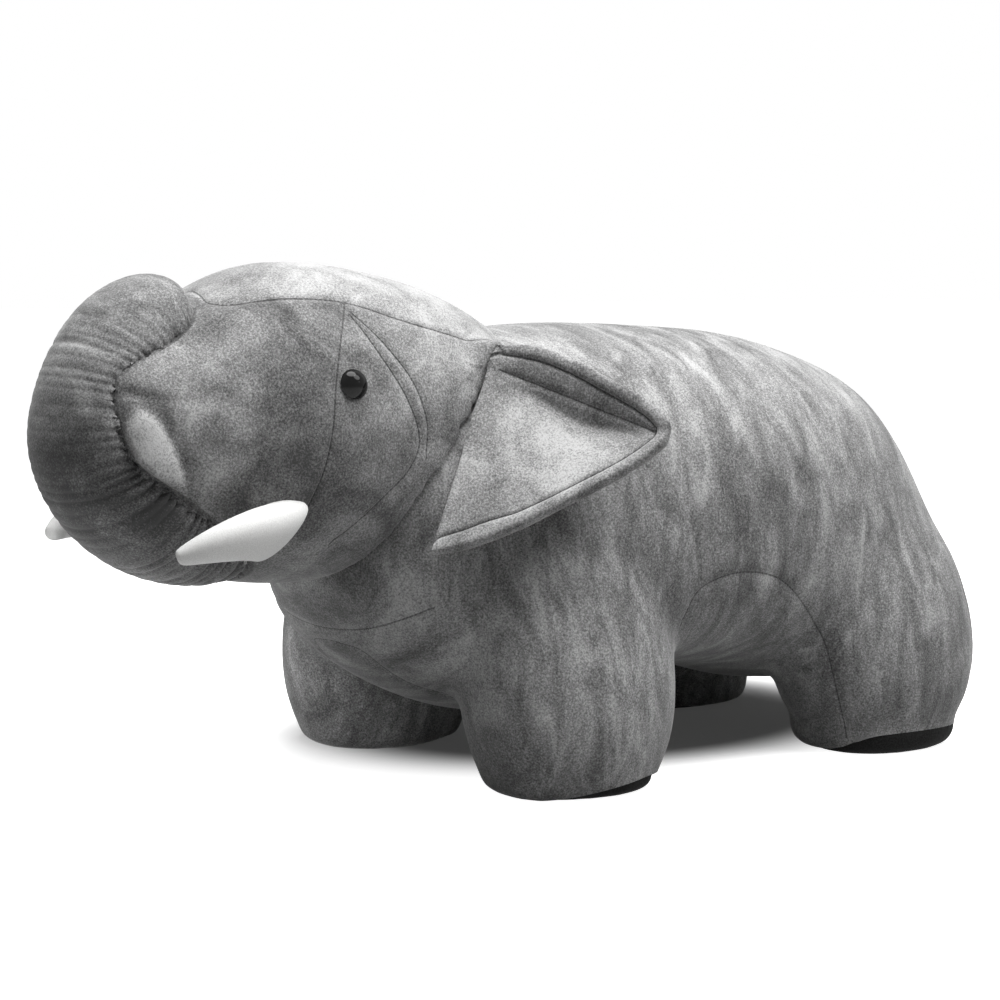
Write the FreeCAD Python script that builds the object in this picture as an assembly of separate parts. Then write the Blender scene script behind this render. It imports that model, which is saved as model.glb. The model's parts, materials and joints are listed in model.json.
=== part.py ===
"""Upholstered elephant pouf, in millimetres.

The elephant faces -Y, its left side is +X and it stands on Z = 0, with the origin under the middle
of its length. A wooden frame on four posts carries a seat board and a foam block. Padding wraps the
frame, and sewn suede covers close over body, legs, head and trunk. Ears and tail are stuffed pieces
that hang from their seams.
"""

import FreeCAD, Part
import math
import os
from FreeCAD import Vector

# Covers and padding, with the play that is left between neighbouring soft pieces
cover_thickness = 2.0
soft_gap = 0.35
seam_allowance = 1.5
wadding_thickness = 14.0

# Body: a barrel from chest to rump with a broad back for a seat
seat_height = 380.0
belly_height = 82.0
body_width = 394.0
chest_y = -202.5
rump_y = 430.0

# Legs
stance_width = 282.0
front_feet_y = -24.5
rear_feet_y = 322.5
foot_width = 132.0
foot_length = 152.0
leg_width = 160.0
front_leg_length = 186.0
rear_leg_length = 200.0
leg_top_z = 250.0
leg_lean = 60.0
front_leg_rake = 0.0
rear_leg_rake = 44.0

# Soles: dark pads with a rounded edge, flat where they stand. The cover's hem hangs over their sides,
# low in front and higher at the back. Its places are measured from the middle of the foot
front_sole_height = 16.0
rear_sole_height = 26.0
sole_edge = 13.0
sole_bulge_height = 5.0
sole_bulge_edge = 5.0
hem_front_height = 1.0
front_hem_back_height = 10.0
front_hem_dip = (-45.0, 76.0)
rear_hem_back_height = 25.0
rear_hem_dip = (-70.0, -30.0)

# Head: a ball that grows out of the shoulders and runs forward into the curl of the trunk
crown_height = 434.0
chin_height = 172.0
head_width = 250.0
nape_y = -14.5
muzzle_y = -400.5
panel_width = 174.0
panel_front_y = -299.5
panel_back_y = -19.5
panel_corner_radius = 60.0

# Trunk: a fat tube that curls forward and up until its tip lies on the forehead
curl_y = -299.5
curl_z = 316.0
curl_radius = 72.0
trunk_start_angle = -140.0
trunk_tip_angle = 80.0
trunk_root_width = 180.0
trunk_tip_width = 112.0
trunk_root_outside = 70.0
trunk_tip_outside = 48.0
trunk_root_inside = 50.0
trunk_tip_inside = 34.0

# Tusks: flattened horns, sewn on along the slanting end of the face seam
tusk_root = Vector(80.0, -259.0, 219.0)
tusk_bend = Vector(118.0, -322.5, 225.0)
tusk_tip = Vector(106.0, -370.5, 211.0)
tusk_seam = Vector(48.0, 21.0, 50.0)

# Ears: cupped flaps that hang from a seam behind the cheek
ear_root_top = Vector(108.0, -72.5, 364.0)
ear_root_bottom = Vector(142.0, -162.5, 202.0)
ear_tip = Vector(244.0, -5.5, 296.0)
ear_thickness = 9.0
ear_fold_depth = 20.0
ear_panel_bulge = 3.0
ear_tip_length = 10.0
ear_back_swing = 8.0
ear_forward_swing = 50.0
ear_gap = 0.5

# Eyes: domed plastic caps on a shank that a washer holds inside the cover
eye_y = -219.5
eye_z = 339.0
eye_diameter = 24.0
eye_height = 7.5
shank_diameter = 5.0
shank_length = 14.0
shank_play = 0.15
washer_diameter = 18.0
washer_thickness = 2.0
washer_gap = 0.9

# Tail: a stuffed cord sewn to the rump
tail_root_z = 288.0
tail_length = 125.0
tail_seam_radius = 6.0
tail_root_radius = 10.0
tail_neck_radius = 7.0
tail_tuft_radius = 10.5
tail_end_radius = 8.0
tail_tip_radius = 3.0

# Wooden frame
post_size = 40.0
post_inset_x = 14.0
post_inset_y = 24.0
deck_height = 262.0
board_thickness = 15.0
board_overhang = 6.0
board_corner_radius = 18.0
rail_thickness = 20.0
rail_height = 60.0
neck_beam_width = 40.0
neck_beam_height = 50.0
neck_beam_length = 190.0
foot_board_thickness = 12.0
foot_board_inset = 8.0
frame_play = 0.5

# Wood screws
screw_diameter = 5.0
deck_screw_length = 40.0
frame_screw_length = 70.0
screw_head_diameter = 9.5
screw_head_height = 3.0
screw_spacing = 30.0
deck_screw_offset = 10.0

# The flatter arcs at the sides and on the crown of a soft section span this angle
FLAT_ANGLE = math.radians(25.0)
EAR_SWING_STEPS = 4
LEFT = 1
RIGHT = -1
ACROSS = Vector(1, 0, 0)
ALONG = Vector(0, 1, 0)
UP = Vector(0, 0, 1)
FAR = 1000.0


# Soft forms: lofts through closed chains of tangent arcs


def between(first, last, share):
    return first + (last - first) * share


def quarter_arcs(half_width, height, corner):
    """Centre, radius, start and end angle of the side, corner and crown arcs of a quarter."""
    rise = 1 - math.cos(FLAT_ANGLE)
    run = math.sin(FLAT_ANGLE)
    shift = corner * (math.sin(FLAT_ANGLE) - math.cos(FLAT_ANGLE))
    scale = run * run - rise * rise
    side = ((height + shift) * run - (half_width + shift) * rise) / scale
    crown = ((half_width + shift) * run - (height + shift) * rise) / scale
    corner_x = (crown - corner) * math.sin(FLAT_ANGLE)
    corner_y = height - crown + (crown - corner) * math.cos(FLAT_ANGLE)
    square = math.pi / 2
    return (
        (half_width - side, 0.0, side, 0.0, FLAT_ANGLE),
        (corner_x, corner_y, corner, FLAT_ANGLE, square - FLAT_ANGLE),
        (0.0, height - crown, crown, square - FLAT_ANGLE, square + FLAT_ANGLE),
    )


def soft_section(origin, across, upward, half_width, above, below, roundness, inset=0.0):
    """A soft outline that is widest at the origin. An inset draws it in by the same all round."""
    edges = []
    for height, turned in ((above, 1), (below, -1)):
        corner = roundness * min(half_width, height)
        side, bend, crown = quarter_arcs(half_width - inset, height - inset, corner - inset)
        for arc, flipped in ((side, 1), (bend, 1), (crown, 1), (bend, -1), (side, -1)):
            x, y, radius, start, end = arc
            points = []
            for angle in (start, (start + end) / 2, end):
                local_x = flipped * (x + radius * math.cos(angle))
                local_y = turned * (y + radius * math.sin(angle))
                points.append(origin + across * local_x + upward * local_y)
            edges.append(Part.Arc(*points).toShape())
    return Part.Wire(Part.__sortEdges__(edges))


def round_section(centre, direction, radius):
    """A circle of four arcs across a direction that isn't upright."""
    across = direction.cross(UP).normalize()
    upward = across.cross(direction)
    axes = (across, upward, -across, -upward)
    edges = []
    for first, second in zip(axes, axes[1:] + axes[:1]):
        middle = (first + second).normalize()
        points = [centre + axis * radius for axis in (first, middle, second)]
        edges.append(Part.Arc(*points).toShape())
    return Part.Wire(edges)


def loft(wires):
    return Part.makeLoft(wires, True, False)


def mirrored(shape):
    return shape.mirror(Vector(0, 0, 0), ACROSS)


def barrel(ends, width, heights, waist, roundness, stations, inset):
    """A form along Y. Each station has shares: place along it, width, underside and top."""
    middle = (ends[0] + ends[1]) / 2
    drawn_in = 1 - 2 * inset / abs(ends[1] - ends[0])
    wires = []
    for place, wide, under, over in stations:
        y = middle + (between(ends[0], ends[1], place) - middle) * drawn_in
        bottom = between(heights[0], heights[1], under)
        top = between(heights[0], heights[1], over)
        origin = Vector(0, y, between(bottom, top, waist))
        half_width = wide * width / 2
        above = top - origin.z
        below = origin.z - bottom
        wires.append(soft_section(origin, ACROSS, UP, half_width, above, below, roundness, inset))
    return loft(wires)


# Chest to rump: chest and belly hang low between the legs and the rump slopes away
BODY_STATIONS = (
    (0.000, 0.22, 0.310, 0.610),
    (0.041, 0.46, 0.160, 0.730),
    (0.104, 0.69, 0.020, 0.850),
    (0.191, 0.80, -0.075, 0.940),
    (0.301, 0.92, -0.105, 0.990),
    (0.457, 0.99, -0.030, 1.000),
    (0.615, 1.00, -0.040, 0.983),
    (0.733, 0.985, -0.100, 0.950),
    (0.812, 0.93, -0.105, 0.902),
    (0.870, 0.85, -0.105, 0.806),
    (0.893, 0.835, -0.100, 0.690),
    (0.918, 0.84, -0.100, 0.555),
    (0.953, 0.82, -0.090, 0.415),
    (0.979, 0.70, -0.075, 0.290),
    (1.000, 0.42, -0.040, 0.175),
)

# Nape to muzzle
HEAD_STATIONS = (
    (0.000, 0.54, 0.336, 0.730),
    (0.090, 0.78, 0.164, 0.850),
    (0.205, 0.92, 0.069, 0.922),
    (0.360, 0.99, 0.015, 0.977),
    (0.503, 1.00, 0.000, 1.000),
    (0.634, 0.96, 0.012, 0.977),
    (0.730, 0.88, 0.045, 0.915),
    (0.832, 0.77, 0.120, 0.840),
    (0.933, 0.66, 0.230, 0.780),
    (1.000, 0.42, 0.370, 0.690),
)

# Sole to shoulder: place, swell from foot to leg size, and lean under the body
LEG_STATIONS = (
    (0.00, 0.00, 0.00),
    (0.12, 0.62, 0.00),
    (0.30, 1.00, 0.05),
    (0.52, 1.00, 0.22),
    (0.76, 0.72, 0.58),
    (1.00, -0.50, 1.00),
)

# Root to tip of the trunk: place along the curl, taper, and rounding at the end
TRUNK_STATIONS = (
    (0.00, 0.00, 1.00),
    (0.14, 0.02, 1.00),
    (0.28, 0.08, 1.00),
    (0.44, 0.22, 1.00),
    (0.60, 0.48, 1.00),
    (0.76, 0.85, 1.00),
    (0.89, 0.98, 1.00),
    (0.96, 1.00, 0.90),
    (1.00, 1.00, 0.66),
)

# Root to tip of an ear: place, length across it, depth of the fold, and how far down the fold lies
EAR_STATIONS = (
    (0.00, 1.00, 0.05, 0.14),
    (0.20, 0.93, 0.55, 0.20),
    (0.40, 0.78, 0.92, 0.27),
    (0.60, 0.57, 1.00, 0.33),
    (0.80, 0.35, 0.62, 0.38),
    (0.93, 0.17, 0.22, 0.44),
    (1.00, 0.03, 0.08, 0.50),
)

# Root to tip of a tusk: place, half its thickness and half its depth along the seam
TUSK_STATIONS = (
    (0.00, 12.0, 34.0),
    (0.15, 13.5, 33.0),
    (0.32, 17.5, 28.5),
    (0.54, 17.0, 21.5),
    (0.77, 12.5, 14.5),
    (0.93, 8.5, 9.0),
    (1.00, 6.0, 6.5),
)

# Root to tip of the tail: place and radius
TAIL_STATIONS = (
    (0.00, tail_seam_radius),
    (0.06, tail_root_radius),
    (0.45, tail_neck_radius),
    (0.75, tail_tuft_radius),
    (0.92, tail_end_radius),
    (1.00, tail_tip_radius),
)

# How round each form's sections are, from square at 0 to a full round at 1
BODY_ROUNDNESS = 0.58
HEAD_ROUNDNESS = 0.80
LEG_ROUNDNESS = 0.85
TRUNK_ROUNDNESS = 0.80
TUSK_ROUNDNESS = 0.90

# How far up its height a section of the body or the head is widest
BODY_WAIST = 0.40
HEAD_WAIST = 0.46


def body_form(inset=0.0):
    ends = (chest_y, rump_y)
    heights = (belly_height, seat_height)
    return barrel(ends, body_width, heights, BODY_WAIST, BODY_ROUNDNESS, BODY_STATIONS, inset)


def head_form(inset=0.0):
    ends = (nape_y, muzzle_y)
    heights = (chin_height, crown_height)
    return barrel(ends, head_width, heights, HEAD_WAIST, HEAD_ROUNDNESS, HEAD_STATIONS, inset)


def leg_section(origin, half_width, half_length, inset):
    halves = (half_width, half_length, half_length)
    return soft_section(origin, ACROSS, ALONG, *halves, LEG_ROUNDNESS, inset)


def leg_form(feet_y, sole_height, length, rake, inset):
    """A left leg: a column that swells above the foot and leans in under the body."""
    wires = []
    for place, swell, lean in LEG_STATIONS:
        x = stance_width / 2 - leg_lean * lean
        origin = Vector(x, feet_y - rake * lean, between(sole_height, leg_top_z, place))
        half_width = between(foot_width, leg_width, swell) / 2
        half_length = between(foot_length, length, swell) / 2
        wires.append(leg_section(origin, half_width, half_length, inset))
    return loft(wires)


def front_leg_form(inset=0.0):
    return leg_form(front_feet_y, front_sole_height, front_leg_length, front_leg_rake, inset)


def rear_leg_form(inset=0.0):
    return leg_form(rear_feet_y, rear_sole_height, rear_leg_length, rear_leg_rake, inset)


def trunk_form(inset=0.0):
    """The curled tube, through sections in planes that all hold the axis of the curl."""
    end_turn = math.degrees(inset / curl_radius)
    wires = []
    for place, taper, rounding in TRUNK_STATIONS:
        angle = between(trunk_start_angle + end_turn, trunk_tip_angle - end_turn, place)
        turn = math.radians(angle)
        outward = Vector(0, -math.cos(turn), math.sin(turn))
        origin = Vector(0, curl_y, curl_z) + outward * curl_radius
        half_width = between(trunk_root_width, trunk_tip_width, taper) / 2 * rounding
        outside = between(trunk_root_outside, trunk_tip_outside, taper) * rounding
        inside = between(trunk_root_inside, trunk_tip_inside, taper) * rounding
        sizes = (half_width, outside, inside)
        wires.append(soft_section(origin, ACROSS, outward, *sizes, TRUNK_ROUNDNESS, inset))
    return loft(wires)


def shell(form):
    """A sewn cover: the form less the same form drawn in by the cover's thickness."""
    return form(0.0).cut(form(cover_thickness))


def stuffing(form):
    """What fills a cover, a little clear of it."""
    return form(cover_thickness + soft_gap)


def surface_point(form, start, direction):
    """Where a straight line from outside first meets a form."""
    inside = Part.makeLine(start, start + direction * FAR).common(form)
    return min((vertex.Point for vertex in inside.Vertexes), key=start.distanceToPoint)


body = body_form()
body_clear = body_form(-soft_gap)
head = head_form()
head_clear = head_form(-soft_gap)
parts = {}


def add_pair(left_name, shape):
    """A left piece and its mirror image on the right."""
    parts[left_name] = shape
    parts[left_name.replace("left", "right")] = mirrored(shape)


# Wooden frame: posts, rails, seat board and the neck beam inside the head

deck_bottom = deck_height - board_thickness
rail_bottom = deck_bottom - rail_height
rail_middle_z = deck_bottom - rail_height / 2
post_x = stance_width / 2 - post_inset_x
front_post_y = front_feet_y + post_inset_y
rear_post_y = rear_feet_y - post_inset_y
post_spacing_y = rear_post_y - front_post_y
frame_middle_y = (front_post_y + rear_post_y) / 2


def block(centre_x, centre_y, low_z, size_x, size_y, size_z):
    corner = Vector(centre_x - size_x / 2, centre_y - size_y / 2, low_z)
    return Part.makeBox(size_x, size_y, size_z, corner)


def rounded_plate(centre_y, low_z, size_x, size_y, size_z, radius):
    plate = block(0, centre_y, low_z, size_x, size_y, size_z)
    upright = [edge for edge in plate.Edges if abs(edge.tangentAt(edge.FirstParameter).z) > 0.9]
    return plate.makeFillet(radius, upright)


def deck_plate(low_z, high_z, play=0.0):
    """A plate with the outline of the seat board."""
    margin = post_size + 2 * (board_overhang + play)
    size_x = 2 * post_x + margin
    size_y = post_spacing_y + margin
    return rounded_plate(frame_middle_y, low_z, size_x, size_y, high_z - low_z, board_corner_radius)


def post(post_y, sole_height, play=0.0):
    size = post_size + 2 * play
    bottom = sole_height + foot_board_thickness
    return block(post_x, post_y, bottom, size, size, deck_bottom - bottom)


def neck_beam(play=0.0):
    """A tongue on the front rail that keeps the head from sagging."""
    length = neck_beam_length + play
    centre_y = front_post_y - rail_thickness / 2 - length / 2
    height = neck_beam_height + 2 * play
    width = neck_beam_width + 2 * play
    return block(0, centre_y, rail_middle_z - height / 2, width, length, height)


def screw(head_point, direction, length):
    """A countersunk wood screw whose head lies flush at the given point."""
    shank = Part.makeCylinder(screw_diameter / 2, length, head_point, direction)
    head_radius = screw_head_diameter / 2
    cone = Part.makeCone(
        head_radius, screw_diameter / 2, screw_head_height, head_point, direction
    )
    return shank.fuse(cone).removeSplitter()


deck_screws = []
post_screws = []
beam_screws = []
for post_y, outward in ((front_post_y, -ALONG), (rear_post_y, ALONG)):
    for side in (LEFT, RIGHT):
        middle = Vector(side * post_x, post_y, rail_middle_z)
        aside = (ACROSS * side + outward) * deck_screw_offset
        deck_point = middle + UP * (deck_height - rail_middle_z) + aside
        deck_screws.append(screw(deck_point, -UP, deck_screw_length))
        face_point = middle + outward * (post_size / 2)
        post_screws.append(screw(face_point, -outward, frame_screw_length))
        outer = middle + ACROSS * (side * post_size / 2)
        for step in (-0.5, 0.5):
            side_point = outer + UP * (step * screw_spacing)
            post_screws.append(screw(side_point, ACROSS * -side, frame_screw_length))
for step in (-0.5, 0.5):
    back = Vector(0, front_post_y + rail_thickness / 2, rail_middle_z + step * screw_spacing)
    beam_screws.append(screw(back, -ALONG, frame_screw_length))

parts["seat_board"] = deck_plate(deck_bottom, deck_height).cut(deck_screws)
rail_length = 2 * post_x - post_size
posts = (("front", front_post_y, front_sole_height), ("rear", rear_post_y, rear_sole_height))
for end, post_y, sole_height in posts:
    add_pair(f"{end}_left_post", post(post_y, sole_height).cut(deck_screws + post_screws))
    rail = block(0, post_y, rail_bottom, rail_length, rail_thickness, rail_height)
    parts[f"{end}_cross_rail"] = rail.cut(post_screws + beam_screws)
rail_length = post_spacing_y - post_size
rail = block(post_x, frame_middle_y, rail_bottom, rail_thickness, rail_length, rail_height)
add_pair("left_side_rail", rail.cut(post_screws))
parts["neck_beam"] = neck_beam().cut(beam_screws)
parts["seat_board_screws"] = Part.makeCompound(deck_screws)
parts["frame_screws"] = Part.makeCompound(post_screws + beam_screws)


# Feet: plywood foot boards under the posts, dark sole pads under the boards


def foot_section(feet_y, z, inset):
    origin = Vector(stance_width / 2, feet_y, z)
    return leg_section(origin, foot_width / 2, foot_length / 2, inset)


def sole_form(feet_y, sole_height, inset=0.0):
    """The rounded underside of a foot."""
    wires = [foot_section(feet_y, 0.0, sole_edge + inset)]
    wires.append(foot_section(feet_y, sole_bulge_height, sole_bulge_edge + inset))
    wires.append(foot_section(feet_y, sole_height, inset))
    return loft(wires)


def hem_space(feet_y, sole_height, dip, back_height, drop=0.0):
    """The space over the hem's edge, which rises from front to back between the two places of the dip."""
    low_y, high_y = (feet_y + place for place in dip)
    corners = (
        Vector(0, feet_y - foot_length, sole_height),
        Vector(0, feet_y - foot_length, hem_front_height - drop),
        Vector(0, low_y, hem_front_height - drop),
        Vector(0, high_y, back_height - drop),
        Vector(0, feet_y + foot_length, back_height - drop),
        Vector(0, feet_y + foot_length, sole_height),
    )
    outline = Part.makePolygon(corners + corners[:1])
    return Part.Face(outline).extrude(ACROSS * FAR)


hems = {}
feet = (
    ("front", front_feet_y, front_sole_height, front_hem_dip, front_hem_back_height),
    ("rear", rear_feet_y, rear_sole_height, rear_hem_dip, rear_hem_back_height),
)
for end, feet_y, sole_height, dip, back_height in feet:
    outline = foot_section(feet_y, sole_height, foot_board_inset)
    add_pair(f"{end}_left_foot_board", Part.Face(outline).extrude(UP * foot_board_thickness))
    sole = sole_form(feet_y, sole_height)
    space = hem_space(feet_y, sole_height, dip, back_height)
    hems[end] = sole.cut(sole_form(feet_y, sole_height, cover_thickness)).common(space)
    rim = sole.cut(sole_form(feet_y, sole_height, cover_thickness + soft_gap))
    clear_space = hem_space(feet_y, sole_height, dip, back_height, soft_gap)
    add_pair(f"{end}_left_sole", sole.cut(rim.common(clear_space)))


# Body and legs: foam seat, padding round the frame, and covers that open into each other

opening = cover_thickness + seam_allowance
leg_openings = []
post_channels = []
legs = (
    ("front", front_leg_form, front_post_y, front_sole_height),
    ("rear", rear_leg_form, rear_post_y, rear_sole_height),
)
for end, leg, post_y, sole_height in legs:
    channel = post(post_y, sole_height, frame_play)
    post_channels += [channel, mirrored(channel)]
    leg_openings += [leg(opening), mirrored(leg(opening))]
    foot_space = block(post_x, post_y, 0, FAR, FAR, sole_height + foot_board_thickness + soft_gap)
    padding = stuffing(leg).cut([body_clear, foot_space, channel])
    add_pair(f"{end}_left_leg_padding", padding)
    cover = shell(leg).cut(body_clear)
    add_pair(f"{end}_left_leg_cover", cover.fuse(hems[end]).removeSplitter())

foam = deck_plate(deck_height, seat_height)
parts["seat_foam"] = foam.common(body_form(wadding_thickness))
foam_pocket = deck_plate(deck_height, seat_height, soft_gap)
foam_pocket = foam_pocket.common(body_form(wadding_thickness - soft_gap))
frame_pocket = deck_plate(rail_bottom - frame_play, deck_height, frame_play)
padding = stuffing(body_form).cut([frame_pocket, foam_pocket, neck_beam(frame_play)])
parts["body_padding"] = padding.cut(post_channels)
parts["body_cover"] = shell(body_form).cut(leg_openings + [head_form(opening)])


# Eyes: each is pushed through the cover and locked by its washer

eye_start = Vector(FAR / 2, eye_y, eye_z)
eye_seat = surface_point(head, eye_start, -ACROSS)
eye_beside = surface_point(head, eye_start + ALONG, -ACROSS) - eye_seat
eye_above = surface_point(head, eye_start + UP, -ACROSS) - eye_seat
eye_out = eye_beside.cross(eye_above).normalize()
dome_radius = (eye_height ** 2 + (eye_diameter / 2) ** 2) / (2 * eye_height)
dome_edge = math.degrees(math.asin((dome_radius - eye_height) / dome_radius))
eye_base = eye_seat + eye_out * soft_gap
dome_centre = eye_base + eye_out * (eye_height - dome_radius)
dome = Part.makeSphere(dome_radius, dome_centre, eye_out, dome_edge, 90, 360)
shank = Part.makeCylinder(shank_diameter / 2, shank_length, eye_base, -eye_out)
shank_hole = Part.makeCylinder(
    shank_diameter / 2 + shank_play, shank_length + frame_play, eye_base, -eye_out
)
washer_seat = eye_seat - eye_out * (cover_thickness + washer_gap)
washer = Part.makeCylinder(washer_diameter / 2, washer_thickness, washer_seat, -eye_out)
washer_space = Part.makeCylinder(
    washer_diameter / 2 + frame_play, washer_gap + washer_thickness + frame_play,
    washer_seat + eye_out * washer_gap, -eye_out,
)
add_pair("left_eye", dome.fuse(shank))
add_pair("left_eye_washer", washer.cut(shank_hole))
eye_spaces = [shank_hole, mirrored(shank_hole)]
washer_spaces = [washer_space, mirrored(washer_space)]


# Head: the forehead panel is let into the cover, and the trunk closes against it


def panel_prism(play=0.0):
    """The forehead panel's outline, carried up through the crown."""
    low_z = between(chin_height, crown_height, 0.5)
    size_x = panel_width + 2 * play
    size_y = panel_back_y - panel_front_y + 2 * play
    middle_y = (panel_front_y + panel_back_y) / 2
    return rounded_plate(middle_y, low_z, size_x, size_y, FAR, panel_corner_radius + play)


head_skin = shell(head_form).cut(body_clear)
parts["head_cover"] = head_skin.cut([panel_prism(soft_gap)] + eye_spaces)
parts["forehead_panel"] = head_skin.common(panel_prism())
filling = stuffing(head_form).cut([body_clear, neck_beam(frame_play)])
parts["head_filling"] = filling.cut(eye_spaces + washer_spaces)
parts["trunk_cover"] = shell(trunk_form).cut(head_clear)
parts["trunk_filling"] = stuffing(trunk_form).cut(head_clear)


# Tusks: stuffed horns along an arc

tusk_path = Part.Arc(tusk_root, tusk_bend, tusk_tip).toShape()
wires = []
for place, half_width, half_depth in TUSK_STATIONS:
    along = between(tusk_path.FirstParameter, tusk_path.LastParameter, place)
    tangent = tusk_path.tangentAt(along)
    upward = (tusk_seam - tangent * tusk_seam.dot(tangent)).normalize()
    across = tangent.cross(upward)
    sizes = (half_width, half_depth, half_depth)
    wires.append(soft_section(tusk_path.valueAt(along), across, upward, *sizes, TUSK_ROUNDNESS))
add_pair("left_tusk", loft(wires).cut([head_clear, trunk_form(-soft_gap)]))


# Ears: a narrow upper and a broad lower panel that meet in a fold, cleared of head and body through
# the whole swing

ear_root = ear_root_bottom - ear_root_top
ear_down = Vector(ear_root).normalize()
ear_reach = ear_tip - ear_root_top
ear_out = (ear_reach - ear_down * ear_reach.dot(ear_down)).normalize()
ear_front = ear_down.cross(ear_out)
ear_depth = ear_front * ear_thickness


def panel_arc(start, end, bulge, shift):
    """A panel's section: a flat arc that bows to the front."""
    middle = (start + end) / 2 + ear_front * bulge
    return Part.Arc(start + shift, middle + shift, end + shift).toShape()


wires = []
for place, across, sink, fold_place in EAR_STATIONS:
    middle = between((ear_root_top + ear_root_bottom) / 2, ear_tip, place)
    half_length = between(ear_tip_length / 2, ear_root.Length / 2, across)
    top = middle - ear_down * half_length
    bottom = middle + ear_down * half_length
    fold = between(top, bottom, fold_place) - ear_front * (ear_fold_depth * sink)
    bulge = ear_panel_bulge * sink
    back = Vector()
    edges = [panel_arc(top, fold, bulge, back), panel_arc(fold, bottom, bulge, back)]
    edges.append(Part.makeLine(bottom, bottom + ear_depth))
    edges.append(panel_arc(bottom, fold, bulge, ear_depth))
    edges.append(panel_arc(fold, top, bulge, ear_depth))
    edges.append(Part.makeLine(top + ear_depth, top))
    wires.append(Part.Wire(edges))
ear = loft(wires)
neighbours = [body_form(-ear_gap), head_form(-ear_gap)]
for step in range(EAR_SWING_STEPS + 1):
    swing = between(-ear_back_swing, ear_forward_swing, step / EAR_SWING_STEPS)
    turned = [shape.rotated(ear_root_top, ear_down, -swing) for shape in neighbours]
    ear = ear.cut(turned)
add_pair("left_ear", ear)


# Tail: lies down the slope of the rump and swings sideways about its seam

tail_top = surface_point(body, Vector(0, FAR / 2, tail_root_z), -ALONG)
tail_foot = surface_point(body, Vector(0, FAR / 2, tail_root_z - tail_length), -ALONG)
tail_down = (tail_foot - tail_top).normalize()
tail_out = ACROSS.cross(tail_down)
tail_axis = tail_top + tail_out * (tail_tuft_radius + soft_gap)
wires = []
for place, radius in TAIL_STATIONS:
    centre = tail_axis + tail_down * (place * tail_length)
    wires.append(round_section(centre, tail_down, radius))
parts["tail"] = loft(wires).cut(body_clear)


os.makedirs("parts", exist_ok=True)
for node, solid in parts.items():
    solid.exportStep(f"parts/{node}.step")
    print(node, len(solid.Solids), solid.isValid(), round(solid.Volume / 1000, 1), "cm3")
print("ear hinge", ear_root_top, ear_down, "tail hinge", tail_top, tail_out)
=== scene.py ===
import json
import math

import bpy
import numpy as np
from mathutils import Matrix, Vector, kdtree
from mathutils.bvhtree import BVHTree

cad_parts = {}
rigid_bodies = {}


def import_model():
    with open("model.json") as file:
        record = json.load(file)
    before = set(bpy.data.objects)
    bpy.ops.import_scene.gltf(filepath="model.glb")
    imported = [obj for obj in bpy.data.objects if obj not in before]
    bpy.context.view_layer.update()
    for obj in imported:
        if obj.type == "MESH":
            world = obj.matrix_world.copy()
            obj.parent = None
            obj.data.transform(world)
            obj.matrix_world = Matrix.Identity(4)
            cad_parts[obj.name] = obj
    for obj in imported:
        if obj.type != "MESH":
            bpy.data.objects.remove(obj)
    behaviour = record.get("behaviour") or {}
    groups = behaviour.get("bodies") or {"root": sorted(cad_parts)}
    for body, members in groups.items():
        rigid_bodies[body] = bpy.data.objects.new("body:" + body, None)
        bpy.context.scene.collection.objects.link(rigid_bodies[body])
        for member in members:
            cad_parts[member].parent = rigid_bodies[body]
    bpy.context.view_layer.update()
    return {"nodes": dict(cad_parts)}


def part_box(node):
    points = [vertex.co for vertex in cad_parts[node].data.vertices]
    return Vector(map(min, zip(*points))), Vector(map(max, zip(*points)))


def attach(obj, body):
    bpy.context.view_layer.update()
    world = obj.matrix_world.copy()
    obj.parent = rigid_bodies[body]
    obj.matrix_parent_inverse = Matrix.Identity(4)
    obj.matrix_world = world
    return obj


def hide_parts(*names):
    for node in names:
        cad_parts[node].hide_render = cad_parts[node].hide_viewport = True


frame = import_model()


# Wooden frame inside the pouf: planed pine posts, rails, deck and foot boards, screwed together.
# The CAD solids have the true shapes, so they stay and only get their grain and their metal.


def new_material(name):
    """An empty node material and its Principled shader."""
    material = bpy.data.materials.new(name)
    material.use_nodes = True
    return material, material.node_tree.nodes["Principled BSDF"]


def add_node(material, kind, **values):
    """A shader node with its settings and its unlinked inputs filled in by name."""
    node = material.node_tree.nodes.new("ShaderNode" + kind)
    for key, value in values.items():
        socket = node.inputs.get(key.replace("_", " ").title())
        if socket is not None and not hasattr(node, key):
            socket.default_value = value
        else:
            setattr(node, key, value)
    return node


def link(material, start, end):
    """Joins two sockets of a node material."""
    material.node_tree.links.new(start, end)


def colour_ramp(material, factor, stops):
    """Colours by factor: stops are (place, grey or red-green-blue)."""
    ramp = add_node(material, "ValToRGB")
    elements = ramp.color_ramp.elements
    while len(elements) < len(stops):
        elements.new(0.5)
    for element, (place, colour) in zip(elements, stops):
        element.position = place
        element.color = (*colour, 1.0) if isinstance(colour, tuple) else (colour, colour, colour, 1.0)
    link(material, factor, ramp.inputs["Fac"])
    return ramp.outputs["Color"]


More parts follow.
